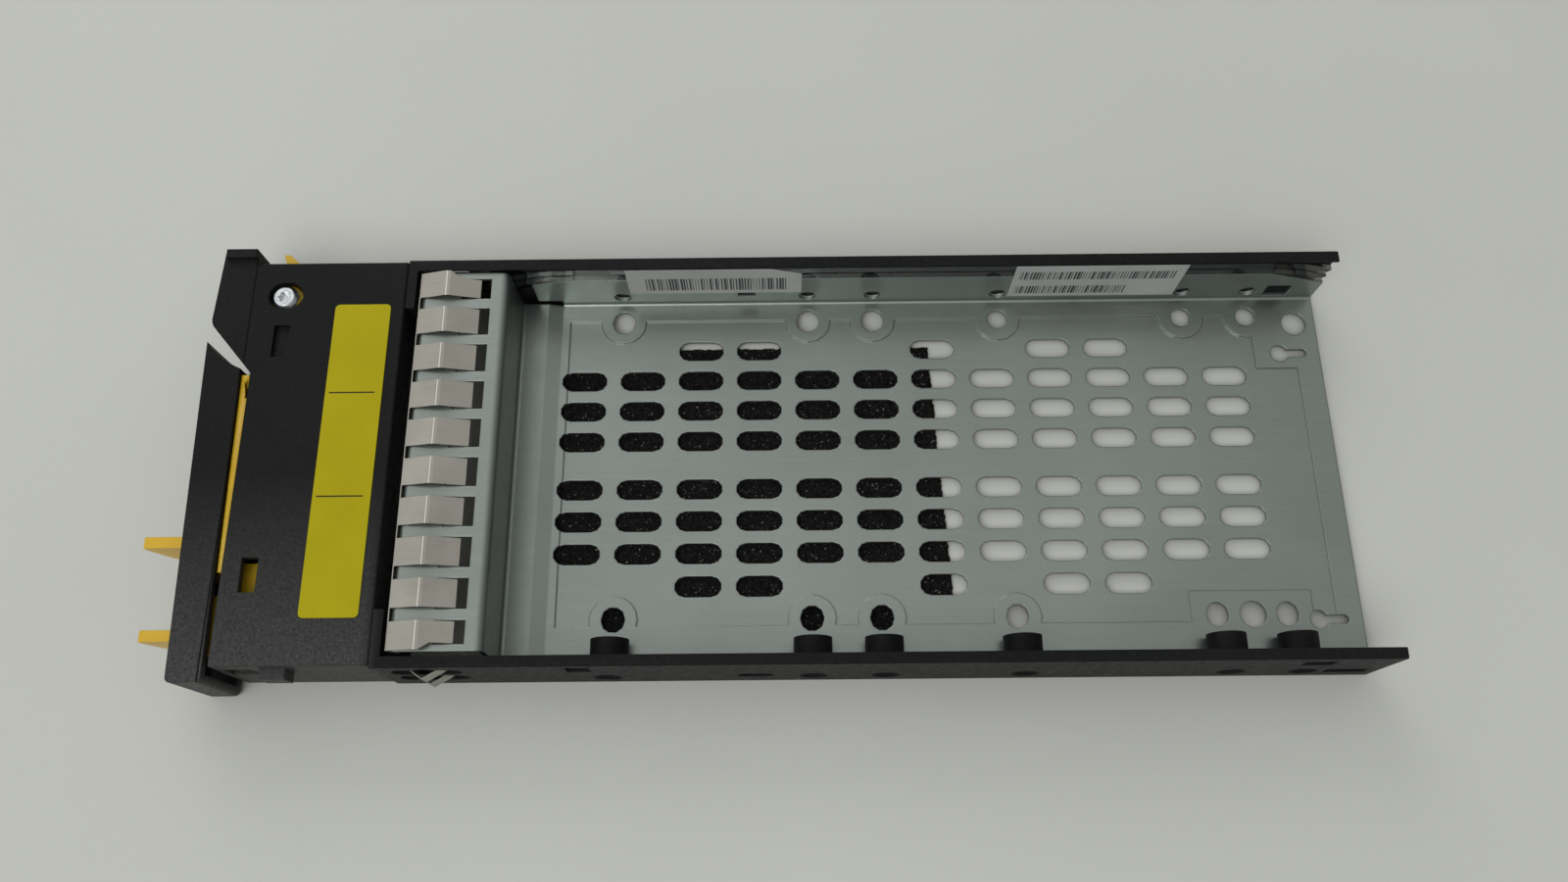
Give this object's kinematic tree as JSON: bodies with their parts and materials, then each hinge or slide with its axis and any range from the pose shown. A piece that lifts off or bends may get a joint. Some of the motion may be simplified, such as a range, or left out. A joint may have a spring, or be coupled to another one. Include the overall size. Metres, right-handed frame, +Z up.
{
  "type": "hot swap drive caddy",
  "caption": "Hot swap carrier for a 2.5 inch drive: pierced steel tray between plastic rails, shielding fingers, front housing and a swinging handle with a pinch latch.",
  "frame": {"origin": "middle of the carrier's overall box, on the surface that its rails stand on", "axes": "+X to the rear (connector end), +Y to the light pipe's side, +Z up"},
  "size_m": [0.226, 0.0852, 0.019],
  "materials": {
    "tray_steel": "satin, galvanised sheet",
    "spring_steel": "bright rolled strip",
    "black_plastic": "fine moulded grain",
    "amber_plastic": "satin moulded",
    "clear_plastic": "clear moulded",
    "zinc": "zinc plated",
    "yellow_label": "printed film",
    "grey_label": "printed film",
    "foam": "open cell foam"
  },
  "bodies": {
    "carrier": {"tray": "tray_steel", "rail_near": "black_plastic", "rail_far": "black_plastic", "emi_strip": "spring_steel", "emi_clip_near": "spring_steel", "emi_clip_far": "spring_steel", "light_pipe": "clear_plastic", "housing_base": "black_plastic", "housing_cover": "black_plastic", "bezel_cap": "black_plastic", "pivot_screw": "zinc", "front_label": "yellow_label", "part_label": "grey_label", "serial_label": "grey_label", "foam_pad": "foam"},
    "handle": {"handle_grip": "black_plastic", "lever_arm": "amber_plastic"},
    "latch": {"latch_slider": "amber_plastic"}
  },
  "joints": [
    {"name": "handle_hinge", "type": "hinge", "parent": "carrier", "child": "handle", "pos_m": [-0.09255, 0.0317, 0.012], "axis": [0, 0, -1], "range_deg": [0, 45]},
    {"name": "latch_slide", "type": "slide", "parent": "handle", "child": "latch", "axis": [0, 1, 0], "range_m": [0, 0.003], "stiffness_N_per_m": 300, "springref_m": -0.001}
  ]
}
